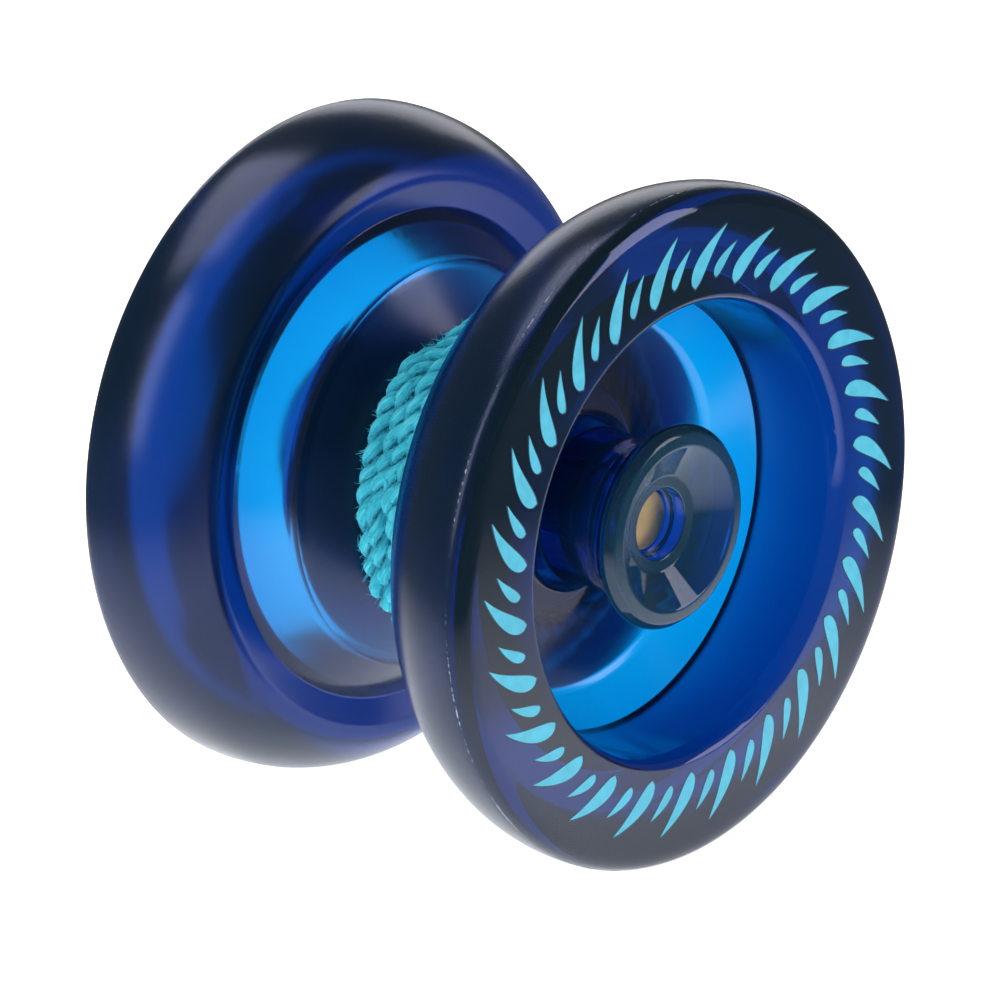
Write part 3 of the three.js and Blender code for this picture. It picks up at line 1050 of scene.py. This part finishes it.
def blade(start, inner_r, outer_r, sweep, width, grow):
    """(radius, angle) outline of a crescent that climbs outwards while it turns by sweep.

    It is widest low down and pointed at both ends.
    """
    steps = 14
    left, right = [], []
    for k in range(steps + 1):
        u = k / steps
        r = inner_r - grow + (outer_r - inner_r + 2 * grow) * u
        spine = start + sweep * (u ** 1.6)
        across = (width * (math.sin(math.pi * u ** 0.72) ** 0.85)
                  + grow * (0.35 + 0.65 * math.sin(math.pi * u)))
        spread = across / r
        left.append((r, spine - spread * 0.5))
        right.append((r, spine + spread * 0.5))
    return left + right[::-1]


def face_print():
    """Swept blades, large and small in turn, printed round the flat face ring of half a."""
    verts, faces, indices = [], [], []

    def add_plate(outline, height, index):
        base, count = len(verts), len(outline)
        for h in (height, height + PRINT_THICKNESS):
            verts.extend(polar_point(r, angle, -h) for r, angle in outline)
        faces.append(tuple(base + i for i in range(count)))
        faces.append(tuple(base + count + i for i in reversed(range(count))))
        for i in range(count):
            j = (i + 1) % count
            faces.append((base + i, base + count + i, base + count + j, base + j))
        indices.extend([index] * (count + 2))

    for i in range(BLADE_PAIRS):
        pair_angle = 2 * math.pi * i / BLADE_PAIRS
        for turn, *shape in BLADES:
            for grow, height, index in PRINT_COATS:
                add_plate(blade(pair_angle + turn, *shape, grow), height, index)
    ob = mesh_object("face_print_a", verts, faces, smooth=False)
    assign(ob, CYAN_INK, DARK_INK)
    for polygon, index in zip(ob.data.polygons, indices):
        polygon.material_index = index
    unify_normals(ob.data)
    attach(ob, "half_a")


face_print()


# ======================================================  floor, lights, camera
def floor_material():
    """A lit white table, whose mirror reflections fade out away from the object."""
    m = material_graph("pale_floor")
    distance = m.node("VectorMath", {0: m.position}, operation="LENGTH").outputs["Value"]
    path = m.node("LightPath")
    mirror = m.maximum(m.subtract(path.outputs["Is Glossy Ray"],
                                  path.outputs["Is Transmission Ray"]), 0.0)
    fade = m.remap(distance, start=0.055, end=0.110, to=(0.0, 0.93))
    shown = m.subtract(1.0, m.multiply(mirror, fade))
    glow = 1.05
    return m.principled({
        "Roughness": 0.75,
        "Emission Color": (1, 1, 1, 1),
        "Emission Strength": m.multiply(shown, glow),
        "Base Color": m.ramp(shown, (0.0, (0.0, 0.0, 0.0)), (1.0, (0.90, 0.90, 0.905))),
        "Specular IOR Level": 0.1})


s = FLOOR_HALF_SIZE
floor = mesh_object("floor", [(-s, -s, FLOOR_Z), (s, -s, FLOOR_Z), (s, s, FLOOR_Z),
                              (-s, s, FLOOR_Z)], [(0, 1, 2, 3)], smooth=False)
assign(floor, floor_material())

# the camera looks down at half a from the -X, -Y side
azimuth, elevation = math.radians(-48.582), math.radians(18.378)
back = Vector((math.sin(azimuth) * math.cos(elevation),
               -math.cos(azimuth) * math.cos(elevation), math.sin(elevation)))
right = Vector((math.cos(azimuth), math.sin(azimuth), 0))
up = back.cross(right)


def from_camera(rightward, upward, backward):
    """Vector given along the camera's own directions."""
    return right * rightward + up * upward + back * backward


def camera():
    data = bpy.data.cameras.new("camera")
    data.lens = 286.308
    data.sensor_width = 36.0
    data.clip_start, data.clip_end = 0.01, 20.0
    ob = bpy.data.objects.new("camera", data)
    place_at = (back * 639.0 + right * 0.032 + up * -1.636) * MM
    turn = Matrix((right, up, back)).transposed().to_4x4()
    ob.matrix_world = Matrix.Translation(place_at) @ turn
    scene.collection.objects.link(ob)
    scene.camera = ob


def softbox(name, position, size, energy):
    """Rectangular light aimed at the origin; position and size in metres."""
    data = bpy.data.lights.new(name, "AREA")
    data.shape = "RECTANGLE"
    data.size, data.size_y = size
    data.energy = energy
    ob = bpy.data.objects.new(name, data)
    aim = (-position).to_track_quat("-Z", "Y").to_matrix().to_4x4()
    ob.matrix_world = Matrix.Translation(position) @ aim
    scene.collection.objects.link(ob)


camera()
softbox("soft_top", from_camera(-0.30, 0.95, 0.15), size=(0.85, 0.6), energy=4.2)
softbox("soft_left", from_camera(-0.75, 0.30, 0.75), size=(0.28, 1.0), energy=2.6)
softbox("soft_right", from_camera(1.05, 0.25, 0.15), size=(0.35, 0.9), energy=3.0)
softbox("back_panel", from_camera(0.0, 0.75, -1.1), size=(1.3, 0.55), energy=3.0)


def room():
    """A dim room, though the camera itself sees white behind the table's edge."""
    scene.world = bpy.data.worlds.new("world")
    graph = Graph(scene.world, "OutputWorld")
    seen = graph.node("LightPath").outputs["Is Camera Ray"]
    dim, white = 0.10, 1.05
    graph.finish(graph.node("Background", {
        "Color": (1, 1, 1, 1),
        "Strength": graph.remap(seen, start=0.0, end=1.0, to=(dim, white))}))


room()

scene.view_settings.view_transform = "Standard"
scene.view_settings.look = "None"
scene.view_settings.exposure = 0.0
scene.cycles.use_denoising = True
scene.cycles.max_bounces = 24
scene.cycles.transmission_bounces = 24
scene.cycles.glossy_bounces = 8
scene.cycles.diffuse_bounces = 4
